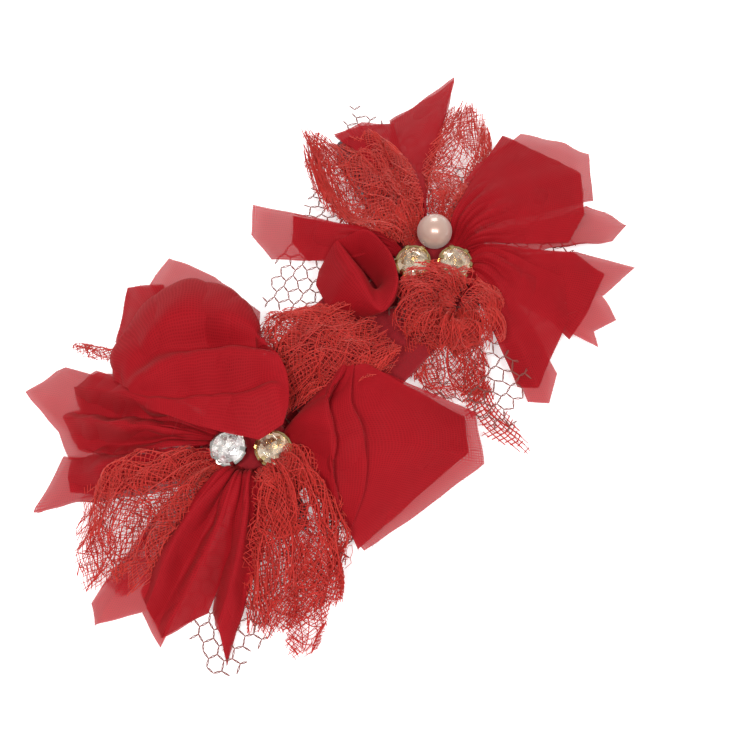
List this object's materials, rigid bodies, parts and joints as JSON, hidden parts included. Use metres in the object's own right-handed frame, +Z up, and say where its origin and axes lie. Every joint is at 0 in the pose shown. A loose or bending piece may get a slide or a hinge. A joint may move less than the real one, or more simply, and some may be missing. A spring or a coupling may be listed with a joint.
{
  "type": "flower hair clip",
  "caption": "Paired red chiffon and lace flowers with bead and rhinestone centres on one felt backing, held in the hair by sprung alligator clips underneath.",
  "frame": {"origin": "middle of the assembled outline, on the surface that the finger pads and the lowest petal tips rest on", "axes": "+X from the near flower's centre to the far flower's centre, +Z up out of the flowers' faces, +Y crosswise towards the clips' noses"},
  "size_m": [0.155, 0.0966, 0.0237],
  "materials": {
    "chiffon": "sheer plain-weave polyester chiffon, matt with a soft sheen",
    "lace": "corded rayon lace on a fine hexagonal net, soft sheen",
    "net": "fine hexagonal nylon net, mostly open",
    "felt": "pressed polyester felt, matt",
    "thread": "twisted polyester sewing thread",
    "clip_enamel": "dark enamel baked on stamped steel, semi-gloss",
    "spring_steel": "drawn spring wire, bright",
    "hot_glue": "cooled hot-melt glue, smooth and milky",
    "pearl": "pinkish-beige pearl lacquer on a glass bead",
    "silver": "silver-plated pressed cup",
    "brass": "gold-plated pressed cup",
    "clear_glass": "machine-cut foil-backed clear crystal",
    "champagne_glass": "machine-cut foil-backed champagne crystal"
  },
  "bodies": {
    "flowers": {"felt_backing": "felt", "near_net_skirt": "net", "near_chiffon_top": "chiffon", "near_chiffon_left": "chiffon", "near_chiffon_low_left": "chiffon", "near_lace_left": "lace", "near_chiffon_bottom": "chiffon", "near_chiffon_point": "chiffon", "near_lace_bottom": "lace", "near_chiffon_right": "chiffon", "near_lace_middle": "lace", "near_gather_thread": "thread", "near_centre_felt": "felt", "near_pearl": "pearl", "near_left_cup": "silver", "near_left_stone": "clear_glass", "near_right_cup": "brass", "near_right_stone": "champagne_glass", "near_clip_upper_arm": "clip_enamel", "near_clip_hinge_pin": "clip_enamel", "near_clip_spring": "spring_steel", "near_clip_glue": "hot_glue", "far_net_skirt": "net", "far_lace_crown": "lace", "far_chiffon_left": "chiffon", "far_chiffon_cone": "chiffon", "far_lace_leaf": "lace", "far_chiffon_low": "chiffon", "far_chiffon_low_right": "chiffon", "far_chiffon_upper_right": "chiffon", "far_lace_top": "lace", "far_chiffon_top": "chiffon", "far_chiffon_back": "chiffon", "far_lace_ruffle": "lace", "far_gather_thread": "thread", "far_centre_felt": "felt", "far_pearl": "pearl", "far_left_cup": "brass", "far_left_stone": "champagne_glass", "far_right_cup": "brass", "far_right_stone": "champagne_glass", "far_clip_upper_arm": "clip_enamel", "far_clip_hinge_pin": "clip_enamel", "far_clip_spring": "spring_steel", "far_clip_glue": "hot_glue"},
    "near_jaw": {"near_clip_lower_arm": "clip_enamel"},
    "far_jaw": {"far_clip_lower_arm": "clip_enamel"}
  },
  "joints": [
    {"name": "near_clip_hinge", "type": "hinge", "parent": "flowers", "child": "near_jaw", "pos_m": [-0.03157, -0.00339, 0.0065], "axis": [-0.9397, 0.342, 0], "range_deg": [0, 22], "stiffness_Nm_per_rad": 0.1, "springref_deg": -22.92, "deforming": ["near_clip_spring"]},
    {"name": "far_clip_hinge", "type": "hinge", "parent": "flowers", "child": "far_jaw", "pos_m": [0.02843, -0.00339, 0.0065], "axis": [-0.9397, 0.342, 0], "range_deg": [0, 22], "stiffness_Nm_per_rad": 0.1, "springref_deg": -22.92, "deforming": ["far_clip_spring"]}
  ]
}
